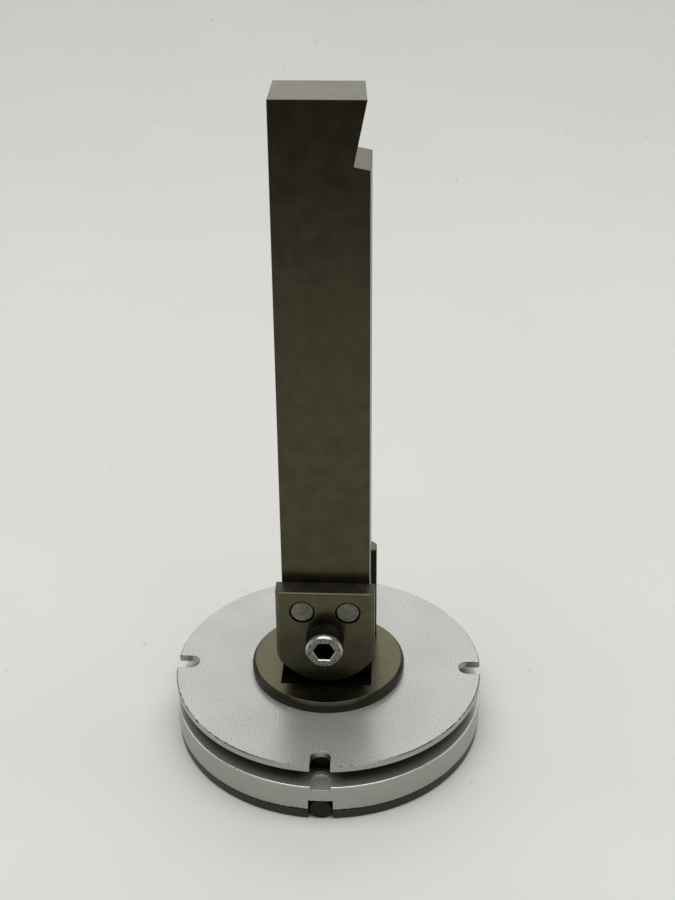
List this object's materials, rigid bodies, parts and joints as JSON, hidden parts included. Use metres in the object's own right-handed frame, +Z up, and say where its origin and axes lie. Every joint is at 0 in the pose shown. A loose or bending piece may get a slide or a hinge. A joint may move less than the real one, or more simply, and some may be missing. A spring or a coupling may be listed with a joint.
{
  "type": "upright bar stand on a grooved round base",
  "caption": "Ground steel bar with a tilted top seat, clamped upright by a screwed plate in a round holder that turns on a grooved aluminium base disc with index slots.",
  "frame": {"origin": "on the axis of the base disc, in the face the stand rests on", "axes": "+Z up along the axis of the base disc, -Y towards the clamp screw's head, +X towards the bar's tilted seat"},
  "size_m": [0.084, 0.084, 0.1782],
  "materials": {
    "disc": "bead-blasted and clear anodised",
    "foot": "ground and blackened",
    "holder": "turned and ground tool steel",
    "bar": "ground tool steel",
    "plate": "ground tool steel",
    "dowel": "ground hardened steel",
    "screw": "plain zinc-plated steel",
    "key": "black oxide"
  },
  "bodies": {
    "base": {"base_disc": "disc", "foot_plate": "foot", "foot_plate_screws": "screw", "key_pin_front": "key", "key_pin_right": "key", "key_pin_back": "key", "key_pin_left": "key"},
    "turret": {"holder": "holder", "centre_washer": "screw", "centre_screw": "screw", "upright_bar": "bar", "dowel_left": "dowel", "dowel_right": "dowel"},
    "plate": {"clamp_plate": "plate"},
    "screw": {"clamp_screw": "screw"}
  },
  "joints": [
    {"name": "holder_swivel", "type": "hinge", "parent": "base", "child": "turret", "pos_m": [0, 0, 0.0177], "axis": [0, 0, 1], "continuous": true},
    {"name": "plate_slide", "type": "slide", "parent": "turret", "child": "plate", "axis": [0, -1, 0], "range_m": [0, 0.003]},
    {"name": "clamp_turn", "type": "hinge", "parent": "plate", "child": "screw", "pos_m": [0, -0.0122, 0.0357], "axis": [0, -1, 0], "range_deg": [0, 1080]}
  ],
  "couplings": [
    {"joint": "clamp_turn", "follows": "plate_slide", "rad_per_m": 6283}
  ]
}
